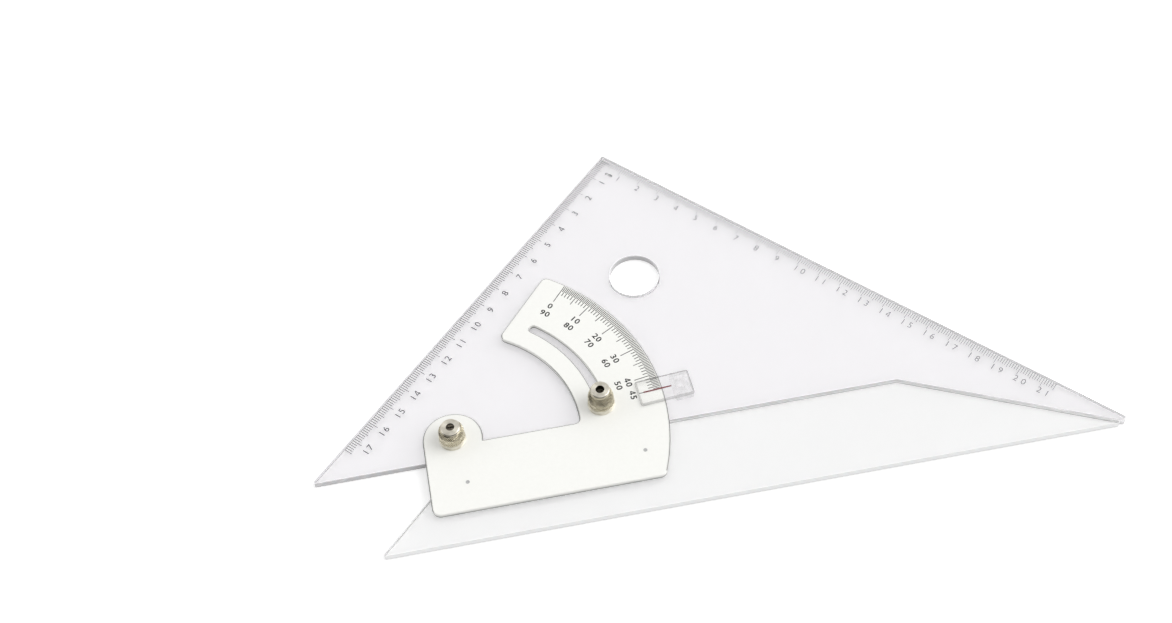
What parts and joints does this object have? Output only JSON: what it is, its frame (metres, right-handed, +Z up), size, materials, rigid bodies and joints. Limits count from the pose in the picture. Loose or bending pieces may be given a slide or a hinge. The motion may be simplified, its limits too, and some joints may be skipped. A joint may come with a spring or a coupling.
{
  "type": "adjustable set square",
  "caption": "Clear drawing set square whose triangular blade swings on a pivot over a ruling limb, read on a white protractor plate and clamped by knurled thumb nuts.",
  "frame": {"origin": "centre of the closed tool's plan box, on the underside of the clear sheets", "axes": "+X along the ruling edge, towards the blade's slender corner; +Y from the ruling edge to the blade's right-angled apex; +Z up, from the table to the thumb nuts"},
  "size_m": [0.3116, 0.1756, 0.0158],
  "materials": {
    "clear_sheet": "clear cast acrylic sheet, polished edges",
    "clear_cursor": "clear acrylic",
    "white_plate": "satin white sheet",
    "steel_rivet": "plain steel",
    "steel_screw": "plain steel",
    "nickel": "nickel plate, fine diamond knurl"
  },
  "bodies": {
    "limb": {"base_limb": "clear_sheet", "protractor_plate": "white_plate", "plate_rivet_left": "steel_rivet", "plate_rivet_right": "steel_rivet"},
    "blade": {"blade": "clear_sheet", "cursor_window": "clear_cursor", "cursor_spacer": "clear_cursor", "pivot_screw": "steel_screw", "clamp_screw": "steel_screw"},
    "pivot_washer": {"pivot_washer": "nickel"},
    "pivot_nut": {"pivot_nut": "nickel"},
    "clamp_washer": {"clamp_washer": "nickel"},
    "clamp_nut": {"clamp_nut": "nickel"}
  },
  "joints": [
    {"name": "blade_swing", "type": "hinge", "parent": "limb", "child": "blade", "pos_m": [-0.10028, -0.04336, 0], "axis": [0, 0, 1], "range_deg": [0, 45]},
    {"name": "pivot_nut_turn", "type": "hinge", "parent": "blade", "child": "pivot_washer", "pos_m": [-0.10028, -0.04336, 0], "axis": [0, 0, 1], "range_deg": [0, 360]},
    {"name": "pivot_nut_rise", "type": "slide", "parent": "pivot_washer", "child": "pivot_nut", "axis": [0, 0, 1], "range_m": [0, 0.0005]},
    {"name": "clamp_nut_turn", "type": "hinge", "parent": "blade", "child": "clamp_washer", "pos_m": [-0.04071, -0.0394, 0], "axis": [0, 0, 1], "range_deg": [0, 360]},
    {"name": "clamp_nut_rise", "type": "slide", "parent": "clamp_washer", "child": "clamp_nut", "axis": [0, 0, 1], "range_m": [0, 0.0005]}
  ],
  "couplings": [
    {"joint": "pivot_nut_turn", "follows": "pivot_nut_rise", "rad_per_m": 12566},
    {"joint": "clamp_nut_turn", "follows": "clamp_nut_rise", "rad_per_m": 12566}
  ]
}
